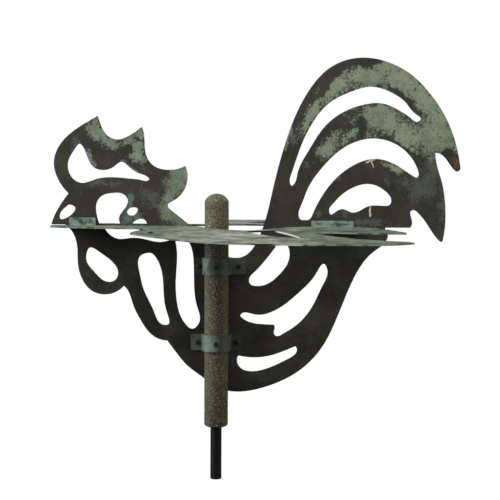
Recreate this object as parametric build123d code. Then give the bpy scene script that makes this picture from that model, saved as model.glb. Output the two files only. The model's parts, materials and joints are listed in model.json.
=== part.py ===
from build123d import *
import math
import os

# Rooster weather vane, in millimetres.
# The origin is the centre of the spindle's foot. +Z is up along the spin axis, the rooster faces -X,
# and the pipe sleeve stands on the -Y side of the upright sheet.

# ---- driving dimensions ----
SHEET = 2.0                  # thickness of the copper sheets
PIPE_R = 16.7                # 1 inch pipe, outside
PIPE_BORE_R = 13.3
PIPE_BOTTOM_Z = 77.5
PIPE_TOP_Z = 395.0           # where the dome starts
PIPE_MOUTH_CHAMFER = 1.2
DOME_R = 18.5
SPIGOT_LENGTH = 10.0
SPIGOT_R = 13.28

FOOT_R = 7.94                # 5/8 inch rod
FOOT_LENGTH = 77.0           # to the journal's shoulder, just below the sleeve's mouth
JOURNAL_R = 7.4
RUNNING_GAP = 0.06
ROD_TOP_Z = 371.5
CUP_R = 6.0                  # countersink that holds the ball, 45 degrees a side
BALL_R = 6.35
THRUST_DISC_R = 13.1
THRUST_DISC_Z = 380.95
BUSH_R = 13.28
BUSH_LENGTH = 30.0
UPPER_BUSH_Z = 335.0
LOWER_BUSH_Z = 84.0

SHEET_NEAR_Y = PIPE_R + 0.2  # near face of the upright sheet, just clear of the pipe
SHEET_FAR_Y = SHEET_NEAR_Y + SHEET

NEAR_PLATE_TOP_Z = 358.6     # at the upright sheet
FAR_PLATE_TOP_Z = 361.0
PLATE_REACH = 175.0          # how far the plate blanks go out before they are cut to outline
NEAR_DROP = 5.6              # the near plate's sag at NEAR_DROP_AT from the upright sheet
NEAR_DROP_AT = 152.0
FAR_FRONT_TILT = 6.6         # degrees that the far plate hangs down ahead of the pipe
FAR_REAR_TILT = 3.3          # and behind it
FAR_TWIST_START_X = -22.0
FAR_TWIST_END_X = 15.0
BLANK_FRONT_X = -245.0
BLANK_REAR_X = 270.0

BEND_INSIDE_R = 1.0          # at the foot of the tabs that are bent up from the plates
HEAD_TAB = (-207.0, -170.0)  # from X, to X
TAIL_TAB = (132.0, 191.0)
HEAD_TAB_TOP_Z = 369.5
TAIL_TAB_TOP_Z = 367.2
HEAD_RIVET_X = (-192.0, -179.0)
TAIL_RIVET_X = (142.0, 161.5, 181.0)
HEAD_RIVET_Z = 365.0
TAIL_RIVET_Z = 364.6
RIVET_R = 1.6
RIVET_HEAD_R = 2.4
RIVET_HEAD_HEIGHT = 1.1

STRAP_THICKNESS = 2.4
STRAP_WIDTH = 23.4
STRAP_GAP = 0.2              # between the strap and the pipe
UPPER_STRAP_Z = 302.5        # middle of the strap's ears
LOWER_STRAP_Z = 193.6
UPPER_STRAP_TILT = 5.0       # degrees that the band rises from its ears to its front
LOWER_STRAP_TILT = 7.0
UPPER_EARS = (-30.5, 40.8)   # ends of the left and right ears
LOWER_EARS = (-36.5, 36.5)
UPPER_BOLT_X = (-25.3, 30.7)
LOWER_BOLT_X = (-27.5, 28.5)
EAR_CORNER_R = 3.0
STRAP_BEND_R = 2.5

BOLT_R = 2.0                 # M4
BOLT_HEAD_R = 3.6
BOLT_HEAD_HEIGHT = 2.4
BOLT_END_Y = 24.4
SLOT_WIDTH = 0.9
SLOT_DEPTH = 1.0
SCREW_END_Y = -12.8
HOLE_CLEARANCE = 0.05
WASHER_R = 4.5
WASHER_THICKNESS = 1.0
NUT_ACROSS_FLATS = 7.0
NUT_HEIGHT = 3.2

STRAP_INNER_R = PIPE_R + STRAP_GAP
STRAP_OUTER_R = STRAP_INNER_R + STRAP_THICKNESS
EAR_NEAR_Y = SHEET_NEAR_Y - STRAP_THICKNESS
STRAP_SETTINGS = [
    ("upper", UPPER_STRAP_Z, UPPER_STRAP_TILT, UPPER_EARS, UPPER_BOLT_X),
    ("lower", LOWER_STRAP_Z, LOWER_STRAP_TILT, LOWER_EARS, LOWER_BOLT_X),
]

# ---- outlines ----
# An outline is a list of strokes, and each stroke starts where the one before it ends. A stroke that
# adds one point is a straight line, and one that adds more is a smooth curve through them.

ROOSTER_START = (-232, 360)
ROOSTER = [
    # beak, wattle notch and the comb's front
    [(-228, 371), (-220.5, 385), (-207.5, 403)],
    [(-221.5, 422), (-227.5, 446), (-220, 469), (-206, 485), (-188, 498), (-166, 511)],
    # the comb's three points
    [(-162, 499), (-154, 485), (-140, 478.5), (-124, 483), (-105, 496)],
    [(-101.5, 483), (-99, 457), (-90, 443.5), (-72, 437), (-44.5, 442.5)],
    [(-41.3, 426), (-46.5, 408), (-55.5, 397.5), (-65.5, 391.5)],
    [(-69, 387), (-66.5, 382)],
    # back of the neck, down behind the pipe, and up the back of the tail
    [(-60, 377), (-40, 361), (-5, 331), (15, 315.5), (34, 314.5), (46, 322), (57, 339), (66, 362),
     (78, 412), (92, 467), (108, 513), (128.5, 551), (152, 577), (190, 592.5), (232, 588.3),
     (268, 570), (296, 542), (318, 509), (331, 477), (338, 446)],
    # the tail's two drooping feather points
    [(337.5, 439), (333, 437)],
    [(321, 451), (311, 461), (303, 463)],
    [(305, 449), (314, 420), (319, 388), (319, 355), (317, 342)],
    [(315, 338.5), (312, 339.5)],
    [(303, 350), (293, 365), (282, 378), (274, 383), (270, 380)],
    [(272, 371), (273, 363), (270, 358)],
    [(236, 358)],
    [(235, 353)],
    # rump, belly and breast
    [(239.5, 348), (237, 339), (219, 323), (203, 304.5), (187, 273), (167.5, 223), (147, 183),
     (113, 149.5), (67, 128), (28, 121.5), (0, 128), (-20, 142.5), (-40, 157.5), (-56, 176), (-70, 195)],
    [(-78, 196), (-89, 201), (-107.5, 224), (-118.5, 247), (-124.5, 265), (-131, 273)],
    [(-145, 263), (-158, 260.5), (-176, 265.5), (-190.5, 284), (-195.5, 304), (-196, 325), (-201, 346),
     (-209, 356)],
    [(-214, 360)],
    [ROOSTER_START],
]

# Openings with corners, as a start and its strokes
THROAT_START = (-165, 360.5)
THROAT = [
    [(-169, 376), (-168, 391), (-160, 400.5), (-146, 404), (-132, 403), (-125, 395), (-128, 384),
     (-136, 373), (-135, 360.5)],
    [THROAT_START],
]
HALF_MOON_START = (-119, 360.5)
HALF_MOON = [
    [(-111, 367), (-105, 368), (-98, 360.5)],
    [HALF_MOON_START],
]
UNDERCUT_START = (-158.5, 356.5)
UNDERCUT = [
    [(-150.5, 345.5), (-138.5, 339.5), (-121, 341), (-100, 339), (-72, 336.5), (-66, 339), (-74, 342.5),
     (-92, 344), (-102, 347), (-108, 351.5), (-112, 356.5)],
    [UNDERCUT_START],
]
TAIL_MIDDLE_SLOT_START = (115, 371)
TAIL_MIDDLE_SLOT = [
    [(114, 378), (117.5, 388.5), (126, 411), (147, 442.5), (175, 468.8), (214, 482.2), (252, 472.4),
     (274.8, 449), (281, 434)],
    [(278.5, 428.5), (273, 430.5), (254, 443), (222, 454), (188, 444), (158, 418), (140, 390),
     (132, 372)],
    [(127.5, 368), (119, 367.5), TAIL_MIDDLE_SLOT_START],
]
RIB_SLOT_START = (81, 218.5)
RIB_SLOT = [
    [(60, 219.5), (42, 224), (33, 231)],
    [(36, 235), (53, 233.5), (72, 235), (96, 248), (121, 270), (140, 293), (151, 306), (155, 299.5),
     (149, 275), (136, 247), (115, 220), (93, 205), (84, 202.5), (81, 207), (82, 213),
     RIB_SLOT_START],
]
BELLY_SLOT_START = (112, 188)
BELLY_SLOT = [
    [(94, 180.5), (75, 174), (55, 171.5), (31, 174)],
    [(29, 167), (34, 156), (44, 151.5), (66, 153.5), (98, 167.5), (114, 182.5), BELLY_SLOT_START],
]

# Openings with no corner, as points on a closed smooth curve
NOSTRIL = [(-204, 387), (-198.5, 383), (-205, 372.5), (-220, 368), (-219, 376), (-211, 384.5)]
EYE = [(-118, 384), (-111, 381), (-114, 375), (-121, 372.5), (-126, 377), (-123, 382)]
COMB_OPENING = [
    (-95, 424.5), (-99, 428), (-111, 432.5), (-122.5, 440.5), (-133, 447.5), (-145, 440), (-157, 436),
    (-170, 438.5), (-179.3, 450.5), (-186, 467), (-190.5, 472), (-199, 464), (-208, 445), (-204, 427),
    (-191, 418), (-170, 423), (-145, 426), (-119, 424), (-105, 422), (-97.5, 421.5),
]
TAIL_TOP_SLOT = [
    (281, 508), (276, 505.6), (267.5, 511), (254, 520), (239.5, 527.4), (225.5, 531), (205, 529.5),
    (184, 523), (168.5, 515), (149, 498.4), (127, 465), (111.5, 431.5), (107.8, 419), (104, 415.8),
    (101.3, 421), (103, 431.5), (114, 465), (129, 498.4), (155.8, 531.6), (184, 546.3), (212, 553.4),
    (239, 546.4), (260.4, 532.2), (276, 515.5),
]
TAIL_LOW_SLOT = [
    (157, 379.5), (159, 376), (167, 380.3), (178, 383.2), (188, 379), (198, 380.6), (210, 387.2),
    (222, 389), (233, 388.5), (241.5, 390.3), (243.3, 397), (236, 408), (220.5, 417.3), (207, 419),
    (190.5, 414.3), (172, 402), (160, 388.8),
]
BREAST_HOLE = [
    (-183, 320), (-178, 327), (-164.5, 320.5), (-149, 309), (-139, 291), (-145, 280), (-158, 279.5),
    (-173, 293),
]
FRONT_LEG_SLOT = [
    (-97, 320), (-110, 312), (-109, 292), (-104, 270), (-88.7, 236), (-75.7, 217.5), (-69, 218),
    (-70.3, 235), (-75.3, 272), (-80.3, 303), (-87.5, 316),
]
REAR_LEG_SLOT = [
    (-58, 335), (-56, 315), (-58, 280), (-56, 248), (-46, 221), (-34, 212), (-25, 221), (-28, 245),
    (-32, 272), (-33, 312), (-38, 333), (-48, 341.5),
]
SADDLE_HOLE = [
    (84, 333), (68.5, 311.5), (53.5, 294.5), (45.6, 284.5), (46.8, 277), (56, 273.8), (72, 277.3),
    (88.5, 291), (100.5, 309), (102, 322), (99, 332), (92, 338),
]
CORNERED_OPENINGS = [
    (THROAT_START, THROAT),
    (HALF_MOON_START, HALF_MOON),
    (UNDERCUT_START, UNDERCUT),
    (BELLY_SLOT_START, BELLY_SLOT),
    (TAIL_MIDDLE_SLOT_START, TAIL_MIDDLE_SLOT),
    (RIB_SLOT_START, RIB_SLOT),
]
SMOOTH_OPENINGS = [
    NOSTRIL, EYE, COMB_OPENING, TAIL_TOP_SLOT, TAIL_LOW_SLOT, BREAST_HOLE, FRONT_LEG_SLOT,
    REAR_LEG_SLOT, SADDLE_HOLE,
]

# Half of the rooster seen from above. X is along the bird, and the second number is the distance
# out from the face of the upright sheet.
PLATE_START = (-231.5, 0)
PLATE_OUTER = [
    [(-231.5, 14)],
    # side of the head and neck
    [(-226, 17), (-195, 22), (-160, 27), (-120, 29), (-92, 32), (-80, 39)],
    # shoulder
    [(-90, 45), (-101, 51), (-110, 64), (-114, 81)],
    [(-108, 89), (-85, 106), (-57, 124), (-31, 139), (8, 150), (62, 155), (110, 157), (174, 155),
     (231, 151.5), (258, 141)],
    # the outer and inner feathers
    [(253, 137), (225, 129), (190, 116), (160, 99), (140, 79), (134, 66)],
    [(142, 62.5), (185, 64), (230, 65.5), (254, 66)],
    [(258, 61), (255, 55), (240, 35), (222, 16), (200, 0)],
]
PIPE_RELIEF = [
    [(118, 0)],
    [(104, 8), (85, 21), (62, 40), (40, 47), (17, 42.5), (-6, 34), (-14.5, 27), (-17.8, 17),
     (-24, 8), (-40, 0)],
]
FEATHER_SLIT_START = (41, 57)
FEATHER_SLIT = [
    [(61, 52), (81, 50)],
    [(97, 75), (113, 111)],
    [(96, 108), (76, 98), (58, 83), FEATHER_SLIT_START],
]
SHOULDER_HOLE_CENTRE = (-86, 75)
SHOULDER_HOLE_RADII = (5.5, 9.0)

os.makedirs("parts", exist_ok=True)


# ---- helpers ----
def outline_face(start, strokes):
    edges = []
    last = start
    for stroke in strokes:
        points = [last, *stroke]
        edges.append(Line(*points) if len(points) == 2 else Spline(*points))
        last = stroke[-1]
    return make_face(edges)


def smooth_face(points):
    return make_face(Spline(*points, periodic=True))


def upright_plane(y):
    """Drawing plane across Y, with local x along +X and local y along +Z. Extrusion goes to -Y."""
    return Plane((0, y, 0), x_dir=(1, 0, 0), z_dir=(0, -1, 0))


def cross_plane(x):
    """Drawing plane across X, with local x along +Y and local y along +Z. Extrusion goes to +X."""
    return Plane((x, 0, 0), x_dir=(0, 1, 0), z_dir=(1, 0, 0))


def rod_along_y(radius, x, z, y_start, y_end):
    """Cylinder along Y between two places."""
    disc = upright_plane(max(y_start, y_end)) * Pos(x, z) * Circle(radius)
    return extrude(disc, amount=abs(y_end - y_start))


def front_screw_z(middle_z, tilt):
    """Height of the screw in a strap's front."""
    return middle_z + (EAR_NEAR_Y + STRAP_OUTER_R) * math.tan(math.radians(tilt))


def tube(outer_r, inner_r, z_low, z_high):
    ring = Circle(outer_r) - Circle(inner_r)
    return extrude(Pos(0, 0, z_low) * ring, amount=z_high - z_low)


def write(node, *solids):
    shape = solids[0] if len(solids) == 1 else Compound(children=list(solids))
    shape.label = node
    export_step(shape, f"parts/{node}.step")


# ---- spindle and bearings ----
def make_spindle_rod():
    foot = Cylinder(FOOT_R, FOOT_LENGTH, align=(Align.CENTER, Align.CENTER, Align.MIN))
    journal_length = ROD_TOP_Z - FOOT_LENGTH
    journal = Cylinder(JOURNAL_R, journal_length, align=(Align.CENTER, Align.CENTER, Align.MIN))
    cup = Cone(0.01, CUP_R, CUP_R, align=(Align.CENTER, Align.CENTER, Align.MAX))
    return foot + Pos(0, 0, FOOT_LENGTH) * journal - Pos(0, 0, ROD_TOP_Z) * cup


def make_thrust_ball():
    return Pos(0, 0, THRUST_DISC_Z - 0.05 - BALL_R) * Sphere(BALL_R)


def make_thrust_disc():
    spigot_bottom = PIPE_TOP_Z - SPIGOT_LENGTH
    height = spigot_bottom - THRUST_DISC_Z
    disc = Cylinder(THRUST_DISC_R, height, align=(Align.CENTER, Align.CENTER, Align.MIN))
    disc = chamfer(disc.edges().filter_by(GeomType.CIRCLE), length=0.6)
    return Pos(0, 0, THRUST_DISC_Z) * disc


def make_bush(z_low):
    bush = tube(BUSH_R, JOURNAL_R + RUNNING_GAP, z_low, z_low + BUSH_LENGTH)
    rims = bush.edges().filter_by(GeomType.CIRCLE).filter_by(lambda edge: edge.radius > PIPE_BORE_R - 1)
    return chamfer(rims, length=0.5)


def make_pipe_sleeve():
    pipe = tube(PIPE_R, PIPE_BORE_R, PIPE_BOTTOM_Z, PIPE_TOP_Z)
    mouth = pipe.faces().sort_by(Axis.Z)[0].edges()
    outer_rim = mouth.filter_by(lambda edge: edge.radius > PIPE_R - 0.1)
    pipe = chamfer(outer_rim, length=PIPE_MOUTH_CHAMFER)
    for _, middle_z, tilt, _, _ in STRAP_SETTINGS:
        z = front_screw_z(middle_z, tilt)
        pipe -= rod_along_y(BOLT_R + HOLE_CLEARANCE, 0, z, -PIPE_R - 1, -PIPE_BORE_R + 3)
    return pipe


def make_pipe_cap():
    dome_height = DOME_R - math.sqrt(DOME_R**2 - PIPE_R**2)
    half_way = math.asin(PIPE_R / DOME_R) / 2
    shoulder = (DOME_R * math.sin(half_way), DOME_R * math.cos(half_way) - DOME_R + dome_height)
    crown = ThreePointArc((PIPE_R, 0), shoulder, (0, dome_height))
    rest = Polyline(
        (0, dome_height),
        (0, -SPIGOT_LENGTH),
        (SPIGOT_R, -SPIGOT_LENGTH),
        (SPIGOT_R, 0),
        (PIPE_R, 0),
    )
    half = upright_plane(0) * Pos(0, PIPE_TOP_Z) * make_face([crown, rest])
    return revolve(half, axis=Axis.Z)


# ---- the upright sheet ----
def fastener_places():
    """X and Z of each hole through the upright sheet, with the radius of what goes through it."""
    places = [(x, HEAD_RIVET_Z, RIVET_R) for x in HEAD_RIVET_X]
    places += [(x, TAIL_RIVET_Z, RIVET_R) for x in TAIL_RIVET_X]
    places += [(x, UPPER_STRAP_Z, BOLT_R) for x in UPPER_BOLT_X]
    places += [(x, LOWER_STRAP_Z, BOLT_R) for x in LOWER_BOLT_X]
    return places


def make_rooster_profile():
    face = outline_face(ROOSTER_START, ROOSTER)
    for start, strokes in CORNERED_OPENINGS:
        face -= outline_face(start, strokes)
    for points in SMOOTH_OPENINGS:
        face -= smooth_face(points)
    for x, z, radius in fastener_places():
        face -= Pos(x, z) * Circle(radius + HOLE_CLEARANCE)
    return extrude(upright_plane(SHEET_FAR_Y) * face, amount=SHEET)


# ---- the level plates ----
def plan_face(inner_edge):
    """Half of the bird seen from above, with its openings and the room for the tabs' bends."""
    face = outline_face(PLATE_START, PLATE_OUTER + inner_edge + [[PLATE_START]])
    face -= outline_face(FEATHER_SLIT_START, FEATHER_SLIT)
    face -= Pos(*SHOULDER_HOLE_CENTRE) * Ellipse(*SHOULDER_HOLE_RADII)
    bend_reach = BEND_INSIDE_R + SHEET
    for low_x, high_x in (HEAD_TAB, TAIL_TAB):
        relief = Rectangle(high_x - low_x, bend_reach, align=(Align.MIN, Align.MIN))
        face -= Pos(low_x, 0) * relief
    return face


def near_blank():
    """Curved sheet that sags towards its outer edge."""
    def height(out):
        return NEAR_PLATE_TOP_Z - NEAR_DROP * (out / NEAR_DROP_AT) ** 2

    def sag_line(offset):
        places = [(SHEET_NEAR_Y - out, height(out) - offset) for out in (0, PLATE_REACH / 2, PLATE_REACH)]
        return ThreePointArc(*places)

    top = sag_line(0)
    bottom = sag_line(SHEET)
    section = make_face([top, Line(top @ 1, bottom @ 1), bottom, Line(bottom @ 0, top @ 0)])
    return extrude(cross_plane(BLANK_FRONT_X) * section, amount=BLANK_REAR_X - BLANK_FRONT_X)


def far_blank():
    """Flat sheet ahead of the pipe and behind it, with a short twist between the two tilts."""
    def section(x, tilt):
        slope = math.tan(math.radians(tilt))
        hinge = BEND_INSIDE_R + SHEET
        inner_top = FAR_PLATE_TOP_Z + hinge * slope
        outer_top = inner_top - PLATE_REACH * slope
        outer_y = SHEET_FAR_Y + PLATE_REACH
        corners = Polyline(
            (SHEET_FAR_Y, inner_top),
            (outer_y, outer_top),
            (outer_y, outer_top - SHEET),
            (SHEET_FAR_Y, inner_top - SHEET),
            close=True,
        )
        return cross_plane(x) * make_face(corners)

    sections = [
        section(BLANK_FRONT_X, FAR_FRONT_TILT),
        section(FAR_TWIST_START_X, FAR_FRONT_TILT),
        section(FAR_TWIST_END_X, FAR_REAR_TILT),
        section(BLANK_REAR_X, FAR_REAR_TILT),
    ]
    return loft(sections, ruled=True)


def bent_tab(span, plate_top, tab_top, face_y, outward):
    """Tab bent up against the upright sheet. outward is -1 on the near side and +1 on the far side."""
    outer_r = BEND_INSIDE_R + SHEET
    bend_y = face_y + outward * outer_r
    bend_z = plate_top + BEND_INSIDE_R
    inner_y = face_y + outward * SHEET
    diagonal = math.sqrt(0.5)
    outer_arc = ThreePointArc(
        (face_y, bend_z),
        (bend_y - outward * outer_r * diagonal, bend_z - outer_r * diagonal),
        (bend_y, plate_top - SHEET),
    )
    inner_arc = ThreePointArc(
        (bend_y, plate_top),
        (bend_y - outward * BEND_INSIDE_R * diagonal, bend_z - BEND_INSIDE_R * diagonal),
        (inner_y, bend_z),
    )
    root = Line(outer_arc @ 1, inner_arc @ 0)
    sides = Polyline(inner_arc @ 1, (inner_y, tab_top), (face_y, tab_top), outer_arc @ 0)
    section = make_face([outer_arc, root, inner_arc, sides])
    low_x, high_x = span
    tab = extrude(cross_plane(low_x) * section, amount=high_x - low_x)
    top_corners = tab.edges().filter_by(Axis.Y).sort_by(Axis.Z)[-2:]
    return fillet(top_corners, radius=2.0)


def make_plate(blank, inner_edge, face_y, outward, plate_top):
    plan = plan_face(inner_edge)
    if outward < 0:
        plan = mirror(plan, about=Plane.XZ)
    low_z = plate_top - 30
    prism = extrude(Pos(0, face_y, low_z) * plan, amount=50, dir=(0, 0, 1))
    plate = blank & prism
    plate += bent_tab(HEAD_TAB, plate_top, HEAD_TAB_TOP_Z, face_y, outward)
    plate += bent_tab(TAIL_TAB, plate_top, TAIL_TAB_TOP_Z, face_y, outward)
    tab_face_y = face_y + outward * (SHEET + 1)
    for x, z, radius in fastener_places():
        if radius == RIVET_R:
            plate -= rod_along_y(radius + HOLE_CLEARANCE, x, z, face_y - outward, tab_face_y)
    return plate


# ---- straps ----
def make_strap(middle_z, tilt, ears, bolt_x):
    """Band round the pipe, made too tall and then cut to its width by two tilted planes."""
    half_ring = Circle(STRAP_OUTER_R) - Circle(STRAP_INNER_R)
    near_side = Rectangle(100, 50, align=(Align.CENTER, Align.MAX))
    plan = half_ring & near_side
    for side in (-1, 1):
        leg_x = side * (STRAP_INNER_R + STRAP_THICKNESS / 2)
        leg = Rectangle(STRAP_THICKNESS, SHEET_NEAR_Y, align=(Align.CENTER, Align.MIN))
        plan += Pos(leg_x, 0) * leg
    for end_x in ears:
        ear = Rectangle(abs(end_x) - STRAP_INNER_R, STRAP_THICKNESS)
        ear_x = math.copysign((abs(end_x) + STRAP_INNER_R) / 2, end_x)
        plan += Pos(ear_x, (EAR_NEAR_Y + SHEET_NEAR_Y) / 2) * ear
    strap = extrude(Pos(0, 0, middle_z - STRAP_WIDTH) * plan, amount=2 * STRAP_WIDTH)
    upright = strap.edges().filter_by(Axis.Z)
    inner_bends = [
        edge for edge in upright
        if abs(abs(edge.center().X) - STRAP_OUTER_R) < 0.01 and abs(edge.center().Y - EAR_NEAR_Y) < 0.01
    ]
    strap = fillet(inner_bends, radius=STRAP_BEND_R)
    strap &= Pos(0, EAR_NEAR_Y, middle_z) * Rot(-tilt, 0, 0) * Box(200, 200, STRAP_WIDTH)
    short_edges = strap.edges().filter_by(lambda edge: edge.length < 1.2 * STRAP_THICKNESS)
    ear_corners = [edge for edge in short_edges if any(abs(edge.center().X - end_x) < 0.01 for end_x in ears)]
    strap = fillet(ear_corners, radius=EAR_CORNER_R)
    hole_r = BOLT_R + HOLE_CLEARANCE
    for x in bolt_x:
        strap -= rod_along_y(hole_r, x, middle_z, EAR_NEAR_Y - 1, SHEET_NEAR_Y + 1)
    screw_z = front_screw_z(middle_z, tilt)
    return strap - rod_along_y(hole_r, 0, screw_z, -STRAP_OUTER_R - 1, -STRAP_INNER_R + 2)


# ---- fasteners ----
def make_rivet(x, z):
    near_y = SHEET_NEAR_Y - SHEET
    far_y = SHEET_FAR_Y + SHEET
    rivet = rod_along_y(RIVET_R, x, z, near_y, far_y)
    near_head = rod_along_y(RIVET_HEAD_R, x, z, near_y - RIVET_HEAD_HEIGHT, near_y)
    far_head = rod_along_y(RIVET_HEAD_R, x, z, far_y, far_y + RIVET_HEAD_HEIGHT)
    near_rim = near_head.edges().filter_by(GeomType.CIRCLE).sort_by(Axis.Y)[0]
    far_rim = far_head.edges().filter_by(GeomType.CIRCLE).sort_by(Axis.Y)[-1]
    round_over = RIVET_HEAD_HEIGHT - 0.2
    return rivet + fillet(near_rim, radius=round_over) + fillet(far_rim, radius=round_over)


def make_screw(x, z, head_y, end_y):
    """Round-headed screw that goes in from the near side. The head's underside is at head_y."""
    head = rod_along_y(BOLT_HEAD_R, x, z, head_y - BOLT_HEAD_HEIGHT, head_y)
    rim = head.edges().filter_by(GeomType.CIRCLE).sort_by(Axis.Y)[0]
    head = fillet(rim, radius=BOLT_HEAD_HEIGHT - 0.6)
    slot = Box(4 * BOLT_HEAD_R, 2 * SLOT_DEPTH, SLOT_WIDTH)
    slot_y = head_y - BOLT_HEAD_HEIGHT
    tilted_slot = Pos(x, slot_y, z) * Rot(0, 35, 0) * slot
    return head - tilted_slot + rod_along_y(BOLT_R, x, z, head_y, end_y)


def make_washer(x, z):
    outer = rod_along_y(WASHER_R, x, z, SHEET_FAR_Y, SHEET_FAR_Y + WASHER_THICKNESS)
    hole = rod_along_y(BOLT_R + HOLE_CLEARANCE, x, z, SHEET_FAR_Y - 1, SHEET_FAR_Y + WASHER_THICKNESS + 1)
    return outer - hole


def make_nut(x, z):
    start_y = SHEET_FAR_Y + WASHER_THICKNESS
    corner_r = NUT_ACROSS_FLATS / math.sqrt(3)
    hexagon = RegularPolygon(corner_r, 6) - Circle(BOLT_R + HOLE_CLEARANCE)
    placed = upright_plane(start_y + NUT_HEIGHT) * Pos(x, z) * hexagon
    return extrude(placed, amount=NUT_HEIGHT)


# ---- the assembly, one file a node ----
write("spindle_rod", make_spindle_rod())
write("thrust_ball", make_thrust_ball())
write("thrust_disc", make_thrust_disc())
write("upper_bush", make_bush(UPPER_BUSH_Z))
write("lower_bush", make_bush(LOWER_BUSH_Z))
write("pipe_sleeve", make_pipe_sleeve())
write("pipe_cap", make_pipe_cap())
write("rooster_profile", make_rooster_profile())
write("near_wing_plate", make_plate(near_blank(), PIPE_RELIEF, SHEET_NEAR_Y, -1, NEAR_PLATE_TOP_Z))
write("far_wing_plate", make_plate(far_blank(), [], SHEET_FAR_Y, 1, FAR_PLATE_TOP_Z))
write("head_rivets", *[make_rivet(x, HEAD_RIVET_Z) for x in HEAD_RIVET_X])
write("tail_rivets", *[make_rivet(x, TAIL_RIVET_Z) for x in TAIL_RIVET_X])

for name, middle_z, tilt, ears, bolt_x in STRAP_SETTINGS:
    write(f"{name}_strap", make_strap(middle_z, tilt, ears, bolt_x))
    write(f"{name}_strap_bolts", *[make_screw(x, middle_z, EAR_NEAR_Y, BOLT_END_Y) for x in bolt_x])
    write(f"{name}_strap_washers", *[make_washer(x, middle_z) for x in bolt_x])
    write(f"{name}_strap_nuts", *[make_nut(x, middle_z) for x in bolt_x])
    write(f"{name}_strap_screw", make_screw(0, front_screw_z(middle_z, tilt), -STRAP_OUTER_R, SCREW_END_Y))
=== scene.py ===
import json
import math
import bmesh
import bpy
from mathutils import Matrix, Vector, noise


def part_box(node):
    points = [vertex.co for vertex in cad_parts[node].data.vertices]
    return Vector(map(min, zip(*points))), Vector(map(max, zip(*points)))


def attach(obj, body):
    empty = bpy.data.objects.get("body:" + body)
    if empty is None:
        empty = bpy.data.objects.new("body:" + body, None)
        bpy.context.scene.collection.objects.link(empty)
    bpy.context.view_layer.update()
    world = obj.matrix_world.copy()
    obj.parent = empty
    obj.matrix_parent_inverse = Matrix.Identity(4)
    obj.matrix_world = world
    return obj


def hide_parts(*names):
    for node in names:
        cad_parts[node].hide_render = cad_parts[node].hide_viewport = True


# Looks of the rooster weather vane, in metres, in the row's frame: +Z up along the spindle,
# the beak towards -X, and the pipe sleeve on the -Y side of the upright sheet.
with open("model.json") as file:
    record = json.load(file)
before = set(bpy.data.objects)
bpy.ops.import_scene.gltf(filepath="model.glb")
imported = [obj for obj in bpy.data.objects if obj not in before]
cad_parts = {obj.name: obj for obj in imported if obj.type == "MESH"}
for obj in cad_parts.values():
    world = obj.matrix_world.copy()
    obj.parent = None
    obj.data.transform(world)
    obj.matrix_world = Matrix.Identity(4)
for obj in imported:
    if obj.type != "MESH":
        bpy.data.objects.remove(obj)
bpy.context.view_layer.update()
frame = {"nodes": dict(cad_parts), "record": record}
NODES = frame["nodes"]
VANE = "vane"
MM = 0.001

# ---- camera and light ----
CAMERA_TARGET = Vector((0.0464, 0.0, 0.3273))
CAMERA_DISTANCE = 1.668
CAMERA_PITCH = math.radians(7.2)
CAMERA_ROLL = math.radians(0.4)
LENS = 86.4
SENSOR = 36.0
FLOOR_Z = -0.6
FLOOR_SIZE = 60.0
FLOOR_BOUNCE = 0.10          # how bright the floor is as a light, against 1 to look at
FRONT_GLOW = 0.10            # the backdrop as a light, in front of the object and behind it
BACK_GLOW = 0.85
GLOW_RISES = (0.0, 0.7)      # Y of the direction, from where the backdrop brightens to where it is full
LIGHT_AIM = (0.03, 0.0, 0.34)

# name, place, size and power in watts
LIGHTS = [
    ("left_softbox", (-2.40, -0.65, 1.35), (1.0, 1.8), 90.0),
    ("right_softbox", (2.40, -0.65, 1.10), (0.9, 1.4), 26.0),
    ("overhead", (-0.25, -0.90, 2.10), (1.4, 1.0), 30.0),
]

# ---- colours, as linear values ----
BRONZE = (0.034, 0.030, 0.021)
BRONZE_LIGHT = (0.052, 0.045, 0.034)
# painted shade of the plates on the body's front below them, and a lighter tone towards its rear
BRONZE_SHADED = (0.016, 0.016, 0.013)
BRONZE_REAR_TONE = (0.084, 0.079, 0.063)
VERDIGRIS = (0.168, 0.224, 0.146)
VERDIGRIS_LIGHT = (0.246, 0.306, 0.208)
VERDIGRIS_PALE = (0.330, 0.390, 0.240)
VERDIGRIS_MID = (0.104, 0.144, 0.098)
VERDIGRIS_DARK = (0.050, 0.073, 0.055)
HAZE = (0.098, 0.116, 0.094)
TARNISH = (0.125, 0.070, 0.028)
TARNISH_DARK = (0.024, 0.019, 0.012)
BLUE_GREEN = (0.120, 0.172, 0.138)
CREAM = (0.52, 0.49, 0.36)
EDGE_DARK = (0.012, 0.015, 0.013)
MINT = (0.215, 0.300, 0.240)
# mint with a painted highlight, for one cut face
MINT_HIGHLIGHT = (0.420, 0.540, 0.440)
WHITE = (1.0, 1.0, 1.0, 1.0)
# the level plates' lower and higher tones, far from their most worn place and at it
PLATE_LOW, PLATE_WORN_LOW = (0.030, 0.037, 0.025), (0.060, 0.064, 0.044)
PLATE_HIGH, PLATE_WORN_HIGH = (0.140, 0.165, 0.120), (0.290, 0.300, 0.242)
PIPE_DARK, PIPE_LIGHT = (0.078, 0.073, 0.040), (0.136, 0.128, 0.078)
# painted light: the pipe lighter and warmer above the plates, where they don't shade it
PIPE_LIT_TOP, PIPE_DULL = (0.185, 0.155, 0.080), (0.052, 0.048, 0.028)
PIPE_PIT, PIPE_SPECK = (0.030, 0.026, 0.014), (0.36, 0.33, 0.22)
UPPER_DARK, UPPER_RIGHT, UPPER_LEFT = (0.058, 0.064, 0.054), (0.100, 0.114, 0.098), (0.190, 0.245, 0.198)
LOWER_DARK, LOWER_BAND, LOWER_EAR = (0.072, 0.074, 0.062), (0.165, 0.215, 0.172), (0.115, 0.148, 0.118)
FASTENER_DARK, FASTENER_LIGHT = (0.010, 0.012, 0.011), (0.036, 0.043, 0.038)
ROD_DARK, ROD_LIGHT = (0.003, 0.003, 0.004), (0.010, 0.010, 0.011)
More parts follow.
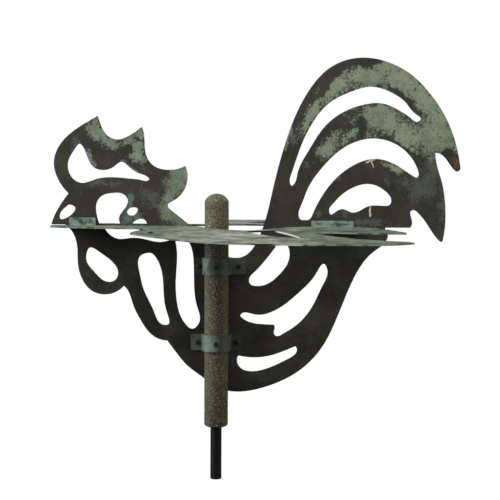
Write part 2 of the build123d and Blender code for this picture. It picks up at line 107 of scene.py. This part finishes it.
STEEL_DARK, STEEL_LIGHT = (0.42, 0.42, 0.44), (0.62, 0.62, 0.64)
BUSH_DARK, BUSH_LIGHT = (0.36, 0.23, 0.10), (0.52, 0.35, 0.17)

# ---- where tones change, in metres: the first value is where a change starts, the second where it ends ----
BELOW_PLATES_Z = (0.365, 0.345)
TAIL_X = (0.05, 0.20)
# from the painted shade at the body's front to its lighter rear
BODY_REAR_X = (-0.03, 0.03)
PLATE_PALE_X = 0.028         # where the level plates are most worn
PLATE_PALE_REACH = (0.03, 0.14)
TAB_FOOT_Z = (0.3612, 0.3630)
# where the pipe's painted light above the plates begins
PIPE_LIT_TOP_Z = (0.345, 0.375)
PIPE_DULL_Z = (0.20, 0.10)
UPPER_STRAP_Z = (0.24, 0.26)
UPPER_LEFT_X = (0.004, -0.012)
LOWER_EAR_X = (-0.014, -0.018)
# where the painted shade on the upper strap's left ear begins
SHADED_EAR_X = (-0.0185, -0.0205)
UPPER_SCREW_X = -0.001       # the upper strap is lighter further from its screw than the dark half width
UPPER_DARK_HALF = 0.012
UPPER_FADE_GAIN = 9.0        # how fast the lighter tone comes in, per metre
LOWER_LIGHTER_X = 0.002         # the lower strap is lighter on this place's left
LOWER_FADE_GAIN = 16.0

# ---- how squarely a face looks along an axis, from 0 of a mask to 1 ----
BROAD_FACE = (0.80, 0.97)
LEVEL_FACE = (0.55, 0.85)


# ---- node helpers ----
class Tree:
    """Short names for building one material's node tree."""

    def __init__(self, name):
        self.material = bpy.data.materials.new(name)
        self.material.use_nodes = True
        self.tree = self.material.node_tree
        self.tree.nodes.clear()
        self.output = self.tree.nodes.new("ShaderNodeOutputMaterial")
        self.shader = self.tree.nodes.new("ShaderNodeBsdfPrincipled")
        self.tree.links.new(self.shader.outputs[0], self.output.inputs["Surface"])
        self.place = self.new("ShaderNodeTexCoord").outputs["Object"]

    def new(self, kind, **settings):
        node = self.tree.nodes.new(kind)
        for key, value in settings.items():
            setattr(node, key, value)
        return node

    def feed(self, socket, value):
        if isinstance(value, bpy.types.NodeSocket):
            self.tree.links.new(value, socket)
        elif isinstance(value, tuple) and len(value) == 3 and socket.type == "RGBA":
            socket.default_value = (*value, 1.0)
        else:
            socket.default_value = value

    def math(self, operation, a, b=0.0):
        node = self.new("ShaderNodeMath", operation=operation)
        self.feed(node.inputs[0], a)
        self.feed(node.inputs[1], b)
        return node.outputs[0]

    def plus(self, a, b):
        return self.math("ADD", a, b)

    def minus(self, a, b):
        return self.math("SUBTRACT", a, b)

    def times(self, a, b):
        return self.math("MULTIPLY", a, b)

    def higher(self, a, b):
        return self.math("MAXIMUM", a, b)

    def vector(self, operation, a, b):
        node = self.new("ShaderNodeVectorMath", operation=operation)
        self.feed(node.inputs[0], a)
        self.feed(node.inputs[1], b)
        return node.outputs[0]

    def scaled(self, vector, by):
        return self.vector("MULTIPLY", vector, by)

    def noise(self, scale, detail, roughness, at=None, in_colour=False):
        node = self.new("ShaderNodeTexNoise")
        self.feed(node.inputs["Vector"], at or self.place)
        node.inputs["Scale"].default_value = scale
        node.inputs["Detail"].default_value = detail
        node.inputs["Roughness"].default_value = roughness
        return node.outputs[1 if in_colour else 0]

    def step(self, value, low, high):
        node = self.new("ShaderNodeMapRange", interpolation_type="SMOOTHSTEP")
        self.feed(node.inputs["Value"], value)
        node.inputs["From Min"].default_value = low
        node.inputs["From Max"].default_value = high
        return node.outputs[0]

    def stretched(self, scale, detail, roughness, low=0.36, high=0.64):
        """Noise spread over the whole of 0 to 1."""
        return self.step(self.noise(scale, detail, roughness), low, high)

    def mix(self, factor, a, b):
        node = self.new("ShaderNodeMix", data_type="RGBA")
        colour_inputs = [s for s in node.inputs if s.type == "RGBA"]
        self.feed(node.inputs[0], factor)
        self.feed(colour_inputs[0], a)
        self.feed(colour_inputs[1], b)
        return [s for s in node.outputs if s.type == "RGBA"][0]

    def cover(self, base, colour, mask, amount):
        """Lays a colour over the base where the mask is 1, as thickly as the amount says."""
        return self.mix(self.times(mask, amount), base, colour)

    def split(self, vector):
        node = self.new("ShaderNodeSeparateXYZ")
        self.feed(node.inputs[0], vector)
        return node.outputs

    def bump(self, height, distance, strength):
        node = self.new("ShaderNodeBump")
        node.inputs["Strength"].default_value = strength
        node.inputs["Distance"].default_value = distance
        self.feed(node.inputs["Height"], height)
        return node.outputs[0]

    def set(self, **values):
        """Feeds the shader's sockets, each named with _ for a space."""
        for key, value in values.items():
            self.feed(self.shader.inputs[key.replace("_", " ")], value)


# ---- patina maps ----
# A patch is (X, Z, half length, half width, degrees up from +X), in millimetres, on the upright sheet.
GREEN_PATCHES = [
    # the comb's first and second points, and the fringes along the comb's opening
    (-163, 486, 19, 10, -42), (-168, 498, 12, 7, -72), (-150, 475, 13, 7, -12),
    (-111, 466, 20, 10, -72), (-120, 478, 14, 6, 30), (-107, 484, 9, 6, 70),
    (-176, 451, 13, 3.5, -55), (-117, 437, 15, 2, -33),
    # the third point
    (-50, 434, 17, 9, 12),
    # the tail's outer band, and the fringe on the slot's side of it
    (160, 548, 32, 11, 43), (206, 566, 36, 14, 6), (252, 563, 34, 20, -26), (288, 533, 34, 19, -50),
    (312, 498, 34, 19, -66), (132, 517, 32, 6, 60), (236, 581, 26, 9, -12),
    # the tail's middle band
    (230, 506, 34, 20, -3), (264, 490, 28, 19, -36), (157, 473, 20, 9, 50), (185, 487, 20, 6, 40),
    (222, 523, 22, 6, 0),
    # the tail's front edge and the lower arch
    (98, 485, 18, 3, 74), (248, 442, 17, 5, -28),
]
SOFT_PATCHES = [
    # the back of the neck
    (-54, 421, 19, 16, 85), (-68, 391, 24, 9, 80), (-57, 367, 26, 9, -38),
    # the join of the tail's bands
    (294, 484, 26, 20, -50), (316, 482, 17, 14, -60),
]
BLUE_PATCHES = [(-122, 374, 13, 12, 0), (-122, 393, 12, 4, 86), (-112, 368, 8, 6, 0)]
HAZE_PATCHES = [
    (-92, 397, 15, 12, 0), (-160, 417, 24, 4, 4), (-170, 506, 9, 5, -60), (-196, 474, 14, 5, 60),
    (-106, 410, 5, 1.2, 85), (104, 486, 4, 6, 0), (124, 445, 5, 7, 0), (171, 426, 7, 4, -40),
    (236, 424, 5, 7, 0), (141, 377, 5, 6, 0), (181, 379, 8, 4, 20), (211, 364, 26, 6, 3),
    (287, 413, 26, 20, 45), (302, 442, 24, 14, 60), (318, 400, 30, 8, 88), (262, 420, 14, 8, -20),
    (60, 148, 26, 14, 0), (12, 168, 20, 14, 20), (205, 330, 8, 16, 0), (60, 221, 3, 12, -8),
]
DARK_PATCHES = [
    (256, 537, 32, 5, -43), (281, 512, 11, 8, -55), (166, 583, 34, 9, 28), (204, 589, 28, 6, 3),
    (247, 476, 30, 4, -30), (-114, 479, 9, 3, 5), (-123, 467, 8, 5, -30), (-86, 382, 10, 13, 75),
    (150, 552, 24, 5, 55), (200, 500, 8, 12, 0),
]
# a painted highlight on the slit's far cut face, and painted shade on the cut face left of it
FEATHER_CUT_HIGHLIGHT = [(99, 355, 15, 12, 0)]
SHADED_CUT = [(62, 357, 20, 10, 0)]
TARNISH_PATCHES = [(325, 453, 19, 13, -60)]
RUST_PATCHES = [(332, 447, 12, 7, -62), (339, 434, 6, 3, -70)]
CREAM_STREAKS = [
    (213, 451, 8, 1.6, 20), (216, 446, 6, 1.2, -70), (214, 381, 9, 1.8, 90), (213, 390, 5, 1.8, 10),
    (150, 427, 9, 0.8, -40),
]
PATCH_REACH = 2.4            # how far a patch's fading goes on, in its own half sizes


def patch_mask(tree, patches, place):
    """Highest of the patches at each point: 1 at a patch's centre, 0 at its edge, below 0 outside."""
    result = None
    for x, z, long_half, short_half, degrees in patches:
        mapping = tree.new("ShaderNodeMapping", vector_type="TEXTURE")
        tree.feed(mapping.inputs["Vector"], place)
        mapping.inputs["Location"].default_value = (x * MM, 0.0, z * MM)
        mapping.inputs["Rotation"].default_value = (0.0, -math.radians(degrees), 0.0)
        mapping.inputs["Scale"].default_value = (
            long_half * MM * PATCH_REACH, 1.0, short_half * MM * PATCH_REACH)
        ball = tree.new("ShaderNodeTexGradient", gradient_type="SPHERICAL")
        tree.feed(ball.inputs[0], mapping.outputs[0])
        value = ball.outputs[1]
        result = value if result is None else tree.math("MAXIMUM", result, value)
    at_edge = 1.0 - 1.0 / PATCH_REACH
    return tree.math("MULTIPLY", tree.math("SUBTRACT", result, at_edge), PATCH_REACH)


def shaken(tree, amount, scale, detail=3.0):
    """The object coordinates pushed about by noise, so that a patch gets a ragged edge."""
    colours = tree.noise(scale, detail, 0.6, in_colour=True)
    offset = tree.vector("SUBTRACT", colours, (0.5, 0.5, 0.5))
    moved = tree.vector("ADD", tree.place, tree.scaled(offset, (amount, amount, amount)))
    return tree.scaled(moved, (1.0, 0.0, 1.0))


def facing(tree, axis, low, high):
    """1 on the faces that look along a world axis, either way, and 0 on the others."""
    normal = tree.split(tree.new("ShaderNodeNewGeometry").outputs["Normal"])
    return tree.step(tree.math("ABSOLUTE", normal[axis]), low, high)


def faces_across_y(tree):
    """1 on the two broad faces of the upright sheet and 0 on its cut edge.

    Known fault: this is right at rest and half a turn from it, and wrong between, where the sheet
    loses its patina, because the normal is in world space and doesn't turn with the vane.
    """
    return facing(tree, 1, *BROAD_FACE)


def rough_edges(tree, rough, broad, at_edge):
    """A roughness that is at least at_edge on the cut edges, where broad is 0."""
    return tree.higher(rough, tree.minus(at_edge, tree.times(broad, at_edge)))


# ---- materials ----
def verdigris(tree):
    """Crust in three tones, cloudy at a hand's scale and grainy close to."""
    crust = tree.mix(tree.stretched(24.0, 6.0, 0.65), VERDIGRIS, VERDIGRIS_LIGHT)
    on_tail = tree.step(tree.split(tree.place)[0], *TAIL_X)
    worn = tree.stretched(55.0, 5.0, 0.6, low=0.48, high=0.70)
    grains = tree.stretched(420.0, 4.0, 0.7)
    pits = tree.stretched(210.0, 4.0, 0.7, low=0.60, high=0.68)
    crust = tree.cover(crust, VERDIGRIS_PALE, on_tail, amount=0.42)
    crust = tree.cover(crust, VERDIGRIS_MID, worn, amount=0.6)
    crust = tree.cover(crust, VERDIGRIS_MID, grains, amount=0.35)
    return tree.cover(crust, VERDIGRIS_DARK, pits, amount=0.75)


def bare_bronze(tree):
    """The sheet under its patina: dark above the plates; below them painted shade from the plates towards
    the front, and a lighter tone towards the rear.
    """
    x, _, z = tree.split(tree.place)
    upper = tree.mix(tree.stretched(16.0, 6.0, 0.65), BRONZE, BRONZE_LIGHT)
    # painted shade below the plates at the body's front, a lighter tone towards its rear
    body_tone = tree.mix(tree.step(x, *BODY_REAR_X), BRONZE_SHADED, BRONZE_REAR_TONE)
    lower = tree.mix(tree.stretched(20.0, 6.0, 0.65), body_tone, upper)
    bloom = tree.stretched(38.0, 5.0, 0.65, low=0.52, high=0.72)
    specks = tree.stretched(480.0, 3.0, 0.6)
    base = tree.cover(upper, lower, tree.step(z, *BELOW_PLATES_Z), amount=0.9)
    base = tree.cover(base, VERDIGRIS_DARK, bloom, amount=0.30)
    return tree.cover(base, EDGE_DARK, specks, amount=0.18)


def make_patinated_sheet():
    tree = Tree("aged_copper_profile")
    ragged = shaken(tree, 0.022, 70.0, 6.0)
    fine = tree.minus(tree.stretched(300.0, 6.0, 0.8, low=0.33, high=0.67), 0.5)
    coarse = tree.minus(tree.stretched(80.0, 6.0, 0.7, low=0.30, high=0.70), 0.5)
    noisy = tree.plus(tree.times(fine, 1.35), tree.times(coarse, 0.80))

    def broken(patches, by):
        """The patches' mask, with its edges broken up by the noise."""
        return tree.plus(patch_mask(tree, patches, ragged), tree.times(noisy, by))

    # the green crust, with dark bites out of it and a thin stain round it
    bitten = tree.times(tree.higher(broken(DARK_PATCHES, by=0.8), 0.0), 2.2)
    green = patch_mask(tree, GREEN_PATCHES, ragged)
    crisp = tree.step(tree.minus(tree.plus(green, noisy), bitten), -0.20, 0.34)
    stain = tree.minus(tree.plus(green, tree.times(noisy, 0.6)), bitten)
    soft = tree.times(tree.step(broken(SOFT_PATCHES, by=0.7), -0.45, 0.55), 0.84)
    crust = tree.higher(crisp, soft)

    haze = tree.step(broken(HAZE_PATCHES, by=0.9), -0.2, 0.7)
    blue = tree.step(broken(BLUE_PATCHES, by=0.8), -0.15, 0.4)
    base = tree.cover(bare_bronze(tree), VERDIGRIS_DARK, tree.step(stain, -0.65, 0.15), amount=0.5)
    base = tree.cover(base, HAZE, haze, amount=0.75)
    base = tree.cover(base, BLUE_GREEN, blue, amount=0.9)
    colour = tree.mix(crust, base, verdigris(tree))

    rust = tree.step(broken(RUST_PATCHES, by=0.6), -0.4, 0.4)
    tarnish = tree.step(broken(TARNISH_PATCHES, by=0.4), 0.0, 0.35)
    colour = tree.mix(tarnish, colour, tree.mix(rust, TARNISH_DARK, TARNISH))
    freckles = tree.stretched(170.0, 2.0, 0.5, low=0.72, high=0.76)
    colour = tree.cover(colour, VERDIGRIS_MID, freckles, amount=0.45)
    cream = tree.step(patch_mask(tree, CREAM_STREAKS, shaken(tree, 0.005, 260.0)), -0.1, 0.35)
    colour = tree.mix(cream, colour, CREAM)

    broad = faces_across_y(tree)
    edge = tree.mix(tree.stretched(45.0, 4.0, 0.6, low=0.56, high=0.70), EDGE_DARK, VERDIGRIS_DARK)
    colour = tree.mix(broad, edge, colour)
    rough = rough_edges(tree, tree.plus(0.50, tree.times(crust, 0.28)), broad, at_edge=0.9)
    height = tree.plus(tree.times(crust, 0.6), tree.times(fine, 0.8))
    bump = tree.bump(height, distance=0.00035, strength=0.6)
    tree.set(Base_Color=colour, Roughness=rough, Normal=bump, Specular_IOR_Level=0.30)
    return tree.material


def make_plate_sheet():
    tree = Tree("aged_copper_plate")
    x, _, z = tree.split(tree.place)
    blotches = tree.noise(30.0, 9.0, 0.75, at=tree.scaled(tree.place, (1.0, 1.6, 1.6)))
    blotches = tree.step(blotches, 0.38, 0.60)
    from_pale = tree.math("ABSOLUTE", tree.minus(x, PLATE_PALE_X))
    worn = tree.minus(1.0, tree.step(from_pale, *PLATE_PALE_REACH))
    low_tone = tree.mix(worn, PLATE_LOW, PLATE_WORN_LOW)
    high_tone = tree.mix(worn, PLATE_HIGH, PLATE_WORN_HIGH)
    cloud = tree.stretched(17.0, 5.0, 0.6)
    stains = tree.stretched(130.0, 5.0, 0.7, low=0.52, high=0.64)
    top = tree.mix(blotches, low_tone, high_tone)
    top = tree.cover(top, VERDIGRIS_MID, cloud, amount=0.4)
    top = tree.cover(top, VERDIGRIS_DARK, stains, amount=0.45)

    # the cut edge, with one stretch of painted highlight and one of painted shade, and the bent-up tabs
    edge = tree.mix(tree.step(tree.noise(70.0, 5.0, 0.6), 0.38, 0.56), VERDIGRIS_DARK, MINT)
    highlight_cut = tree.step(patch_mask(tree, FEATHER_CUT_HIGHLIGHT, tree.place), -0.2, 0.1)
    edge = tree.mix(highlight_cut, edge, MINT_HIGHLIGHT)
    shade_cut = tree.step(patch_mask(tree, SHADED_CUT, tree.place), -0.1, 0.2)
    edge = tree.mix(shade_cut, edge, EDGE_DARK)
    tab = tree.mix(tree.stretched(70.0, 6.0, 0.7, low=0.36, high=0.56), VERDIGRIS_DARK, MINT)
    side = tree.mix(tree.step(z, *TAB_FOOT_Z), edge, tab)

    level = facing(tree, 2, *LEVEL_FACE)
    colour = tree.mix(level, side, top)
    rough = rough_edges(tree, tree.plus(0.68, tree.times(blotches, 0.20)), level, at_edge=0.75)
    bump = tree.bump(tree.noise(320.0, 4.0, 0.6), distance=0.00012, strength=0.4)
    tree.set(Base_Color=colour, Roughness=rough, Normal=bump, Specular_IOR_Level=0.20)
    return tree.material


def make_granular_pipe():
    tree = Tree("granular_pipe")
    z = tree.split(tree.place)[2]
    grain_noise = tree.noise(620.0, 4.0, 0.75)
    band = tree.noise(16.0, 4.0, 0.6)
    speck = tree.stretched(520.0, 3.0, 0.7, low=0.56, high=0.64)
    base = tree.mix(tree.step(band, 0.36, 0.64), PIPE_DARK, PIPE_LIGHT)
    # painted light above the plates, lighter and warmer where they don't shade the pipe
    base = tree.cover(base, PIPE_LIT_TOP, tree.step(z, *PIPE_LIT_TOP_Z), amount=0.45)
    base = tree.cover(base, PIPE_DULL, tree.step(z, *PIPE_DULL_Z), amount=0.45)
    base = tree.mix(tree.step(grain_noise, 0.42, 0.58), PIPE_PIT, base)
    colour = tree.cover(base, PIPE_SPECK, speck, amount=0.8)
    rough = tree.plus(0.60, tree.times(band, 0.2))
    bump = tree.bump(grain_noise, distance=0.0006, strength=0.8)
    tree.set(Base_Color=colour, Roughness=rough, Normal=bump, Specular_IOR_Level=0.30)
    return tree.material


def make_strap_copper():
    """Both straps: the upper one lighter at its two ends and with painted shade on its left ear, the lower
    one lighter on its left.
    """
    tree = Tree("aged_strap")
    x, _, z = tree.split(tree.place)
    cloud = tree.noise(48.0, 5.0, 0.65)
    from_screw = tree.minus(tree.math("ABSOLUTE", tree.minus(x, UPPER_SCREW_X)), UPPER_DARK_HALF)
    leftward = tree.minus(LOWER_LIGHTER_X, x)
    upper_lighter = tree.step(tree.plus(cloud, tree.times(from_screw, UPPER_FADE_GAIN)), 0.42, 0.60)
    lower_lighter = tree.step(tree.plus(cloud, tree.times(leftward, LOWER_FADE_GAIN)), 0.38, 0.62)
    upper_tone = tree.mix(tree.step(x, *UPPER_LEFT_X), UPPER_RIGHT, UPPER_LEFT)
    lower_tone = tree.mix(tree.step(x, *LOWER_EAR_X), LOWER_BAND, LOWER_EAR)
    upper = tree.mix(upper_lighter, UPPER_DARK, upper_tone)
    lower = tree.mix(lower_lighter, LOWER_DARK, lower_tone)
    is_upper = tree.step(z, *UPPER_STRAP_Z)
    mottle = tree.stretched(170.0, 5.0, 0.7, low=0.40, high=0.60)
    pits = tree.stretched(260.0, 3.0, 0.6, low=0.62, high=0.68)
    # painted shade and dark patina on the upper strap's left ear, in the pipe's shadow
    shaded_left_ear = tree.times(tree.step(x, *SHADED_EAR_X), is_upper)
    colour = tree.mix(is_upper, lower, upper)
    colour = tree.cover(colour, VERDIGRIS_DARK, mottle, amount=0.45)
    colour = tree.mix(pits, colour, EDGE_DARK)
    colour = tree.cover(colour, EDGE_DARK, shaded_left_ear, amount=0.85)
    bump = tree.bump(tree.noise(200.0, 4.0, 0.6), distance=0.0003, strength=0.5)
    tree.set(Base_Color=colour, Roughness=0.55, Normal=bump, Specular_IOR_Level=0.4)
    return tree.material


def make_dark_fastener():
    tree = Tree("dark_fastener")
    cloud = tree.noise(220.0, 4.0, 0.6)
    colour = tree.mix(tree.step(cloud, 0.45, 0.65), FASTENER_DARK, FASTENER_LIGHT)
    bump = tree.bump(cloud, distance=0.0002, strength=0.5)
    tree.set(Base_Color=colour, Roughness=0.5, Normal=bump)
    return tree.material


def make_black_steel():
    tree = Tree("black_steel")
    drawn = tree.noise(500.0, 3.0, 0.6, at=tree.scaled(tree.place, (1.0, 1.0, 0.15)))
    colour = tree.mix(drawn, ROD_DARK, ROD_LIGHT)
    rough = tree.plus(0.42, tree.times(drawn, 0.2))
    bump = tree.bump(drawn, distance=0.00005, strength=0.4)
    tree.set(Base_Color=colour, Roughness=rough, Normal=bump, Specular_IOR_Level=0.25)
    return tree.material


def make_plain_metal(name, dark, light, roughness):
    tree = Tree(name)
    turned = tree.noise(300.0, 3.0, 0.6, at=tree.scaled(tree.place, (0.2, 0.2, 3.0)))
    rough = tree.plus(roughness, tree.times(turned, 0.15))
    tree.set(Base_Color=tree.mix(turned, dark, light), Roughness=rough, Metallic=1.0)
    return tree.material


MATERIALS = {
    "patinated_sheet": make_patinated_sheet(),
    "plate_sheet": make_plate_sheet(),
    "cast_pipe": make_granular_pipe(),
    "strap_copper": make_strap_copper(),
    "dark_fastener": make_dark_fastener(),
    "black_steel": make_black_steel(),
    "bearing_steel": make_plain_metal("bearing_steel", STEEL_DARK, STEEL_LIGHT, 0.12),
    "bush_bronze": make_plain_metal("bush_bronze", BUSH_DARK, BUSH_LIGHT, 0.28),
}


SLOT_OF = {row["node"]: row["material_slot"] for row in frame["record"]["subparts"]}
for node_name, node_object in NODES.items():
    node_object.data.materials.clear()
    node_object.data.materials.append(MATERIALS[SLOT_OF[node_name]])


# ---- edges and the pipe's cast surface ----
EDGE_ROUNDING = {
    "rooster_profile": 0.00050, "near_wing_plate": 0.00035, "far_wing_plate": 0.00035,
    "upper_strap": 0.00040, "lower_strap": 0.00040,
}
GRAIN_DEPTH = 0.00022        # most that a grain stands proud or lies deep
GRAIN_SIZE = 0.0012
LARGE_GRAIN = 4.0            # size of the larger grains against the small ones, and their share
LARGE_SHARE = 0.25
PIPE_SEGMENTS = 264
ROW_HEIGHT = 0.0011
MOUTH_CHAMFER = 0.0012
BEVEL_SEGMENTS = 2
BEVEL_FROM = math.radians(50)    # only corners sharper than this are rounded


def round_edges(obj, width):
    bevel = obj.modifiers.new("rounded_edges", "BEVEL")
    bevel.width = width
    bevel.segments = BEVEL_SEGMENTS
    bevel.limit_method = "ANGLE"
    bevel.angle_limit = BEVEL_FROM
    bevel.harden_normals = False


def grain(point):
    """How far the cast surface stands proud at a point."""
    small = noise.noise(point / GRAIN_SIZE)
    large = noise.noise(point / (LARGE_GRAIN * GRAIN_SIZE))
    return GRAIN_DEPTH * ((1 - LARGE_SHARE) * small + LARGE_SHARE * large)


def rows_between(start, end):
    """Points on a straight line, about a row height apart, without the last one."""
    count = max(1, round((Vector(end) - Vector(start)).length / ROW_HEIGHT))
    return [Vector(start).lerp(Vector(end), i / count) for i in range(count)]


def turned_mesh(name, profile):
    """Closed surface turned round Z. A corner is (radius, height, lean), where lean is the angle up
    from level in which the grain stands proud, or None on a smooth surface."""
    mesh = bmesh.new()
    rings = []
    for radius, height, lean in profile:
        ring = []
        for i in range(PIPE_SEGMENTS if radius > 0 else 1):
            angle = 2 * math.pi * i / PIPE_SEGMENTS
            out = Vector((math.cos(angle), math.sin(angle), 0.0))
            point = out * radius + Vector((0.0, 0.0, height))
            if lean is not None:
                point += (out * math.cos(lean) + Vector((0.0, 0.0, math.sin(lean)))) * grain(point)
            ring.append(mesh.verts.new(point))
        rings.append(ring)
    for low, high in zip(rings, rings[1:] + rings[:1]):
        if len(low) == len(high) == 1:
            continue
        for i in range(PIPE_SEGMENTS):
            j = (i + 1) % PIPE_SEGMENTS
            corners = [low[i % len(low)], low[j % len(low)], high[j % len(high)], high[i % len(high)]]
            mesh.faces.new(list(dict.fromkeys(corners)))
    bmesh.ops.recalc_face_normals(mesh, faces=mesh.faces)
    data = bpy.data.meshes.new(name)
    mesh.to_mesh(data)
    mesh.free()
    piece = bpy.data.objects.new(name, data)
    bpy.context.scene.collection.objects.link(piece)
    return piece


def dress(piece, slot, *nodes):
    """Material, body, slot and replaced nodes of a new piece."""
    piece.data.materials.append(MATERIALS[slot])
    for polygon in piece.data.polygons:
        polygon.use_smooth = True
    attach(piece, VANE)
    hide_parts(*nodes)


def make_grainy_sleeve():
    low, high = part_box("pipe_sleeve")
    radius = high.x
    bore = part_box("upper_bush")[1].x
    corners = rows_between((radius, low.z + MOUTH_CHAMFER), (radius, high.z))
    profile = [(bore, high.z, None), (bore, low.z, None), (radius - MOUTH_CHAMFER, low.z, None)]
    profile += [(corner.x, corner.y, 0.0) for corner in corners]
    profile.append((radius, high.z, 0.0))
    dress(turned_mesh("grainy_sleeve", profile), "cast_pipe", "pipe_sleeve")


def make_grainy_cap():
    """The dome, from the sleeve's outside to its crown, and the plug under it in the sleeve's bore."""
    low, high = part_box("pipe_cap")
    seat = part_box("pipe_sleeve")[1].z
    radius = high.x
    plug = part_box("upper_bush")[1].x
    dome_radius = (radius**2 + (high.z - seat)**2) / (2 * (high.z - seat))
    reach = math.asin(radius / dome_radius)
    rows = round(dome_radius * reach / ROW_HEIGHT)
    profile = [(0.0, low.z, None), (plug, low.z, None), (plug, seat, None), (radius, seat, 0.0)]
    for i in range(1, rows):
        from_crown = reach * (1 - i / rows)
        height = high.z - dome_radius * (1 - math.cos(from_crown))
        profile.append((dome_radius * math.sin(from_crown), height, math.pi / 2 - from_crown))
    profile.append((0.0, high.z, None))
    dress(turned_mesh("grainy_cap", profile), "cast_pipe", "pipe_cap")


for node_name, rounding in EDGE_ROUNDING.items():
    round_edges(NODES[node_name], rounding)
make_grainy_sleeve()
make_grainy_cap()


# ---- stage ----
def make_floor():
    """A large level sheet, white to look at and dim as a light."""
    mesh = bpy.data.meshes.new("studio_floor")
    half = FLOOR_SIZE / 2
    corners = [(-half, -half), (half, -half), (half, half), (-half, half)]
    mesh.from_pydata([(x, y, FLOOR_Z) for x, y in corners], [], [(0, 1, 2, 3)])
    floor = bpy.data.objects.new("studio_floor", mesh)
    bpy.context.scene.collection.objects.link(floor)
    material = bpy.data.materials.new("studio_floor")
    material.use_nodes = True
    nodes = material.node_tree.nodes
    links = material.node_tree.links
    nodes.clear()
    output = nodes.new("ShaderNodeOutputMaterial")
    glow = nodes.new("ShaderNodeEmission")
    glow.inputs["Color"].default_value = WHITE
    rays = nodes.new("ShaderNodeLightPath")
    strength = nodes.new("ShaderNodeMix")
    strength.inputs[2].default_value = FLOOR_BOUNCE
    strength.inputs[3].default_value = 1.0
    links.new(rays.outputs["Is Camera Ray"], strength.inputs[0])
    links.new(strength.outputs[0], glow.inputs["Strength"])
    links.new(glow.outputs[0], output.inputs["Surface"])
    mesh.materials.append(material)


def make_world():
    """White to look at. As a light it is bright behind the object and dim in front of it."""
    world = bpy.data.worlds.new("studio")
    bpy.context.scene.world = world
    world.use_nodes = True
    nodes = world.node_tree.nodes
    links = world.node_tree.links
    nodes.clear()
    output = nodes.new("ShaderNodeOutputWorld")
    place = nodes.new("ShaderNodeTexCoord")
    split = nodes.new("ShaderNodeSeparateXYZ")
    depth = nodes.new("ShaderNodeMapRange")
    depth.interpolation_type = "SMOOTHSTEP"
    depth.inputs["From Min"].default_value = GLOW_RISES[0]
    depth.inputs["From Max"].default_value = GLOW_RISES[1]
    depth.inputs["To Min"].default_value = FRONT_GLOW
    depth.inputs["To Max"].default_value = BACK_GLOW
    light = nodes.new("ShaderNodeBackground")
    seen = nodes.new("ShaderNodeBackground")
    seen.inputs["Strength"].default_value = 1.0
    rays = nodes.new("ShaderNodeLightPath")
    blend = nodes.new("ShaderNodeMixShader")
    links.new(place.outputs["Generated"], split.inputs[0])
    links.new(split.outputs[1], depth.inputs["Value"])
    links.new(depth.outputs[0], light.inputs["Strength"])
    links.new(rays.outputs["Is Camera Ray"], blend.inputs[0])
    links.new(light.outputs[0], blend.inputs[1])
    links.new(seen.outputs[0], blend.inputs[2])
    links.new(blend.outputs[0], output.inputs["Surface"])
    for shader in (light, seen):
        shader.inputs["Color"].default_value = WHITE


def area_light(name, place, aim, size, power):
    data = bpy.data.lights.new(name, "AREA")
    data.shape = "RECTANGLE"
    data.size = size[0]
    data.size_y = size[1]
    data.energy = power
    lamp = bpy.data.objects.new(name, data)
    lamp.location = place
    direction = Vector(aim) - Vector(place)
    lamp.rotation_mode = "QUATERNION"
    lamp.rotation_quaternion = direction.to_track_quat("-Z", "Y")
    lamp.visible_camera = False
    bpy.context.scene.collection.objects.link(lamp)


def make_camera():
    data = bpy.data.cameras.new("camera")
    data.lens = LENS
    data.sensor_width = SENSOR
    data.dof.use_dof = False
    camera = bpy.data.objects.new("camera", data)
    tilt = Matrix.Rotation(math.pi / 2 - CAMERA_PITCH, 4, "X")
    roll = Matrix.Rotation(CAMERA_ROLL, 4, "Z")
    turned = tilt @ roll
    back = turned.to_3x3() @ Vector((0.0, 0.0, 1.0))
    camera.matrix_world = Matrix.Translation(CAMERA_TARGET + back * CAMERA_DISTANCE) @ turned
    bpy.context.scene.collection.objects.link(camera)
    bpy.context.scene.camera = camera


make_floor()
make_world()
for light_name, light_place, light_size, light_power in LIGHTS:
    area_light(light_name, light_place, LIGHT_AIM, light_size, light_power)
make_camera()
bpy.context.scene.view_settings.view_transform = "Standard"
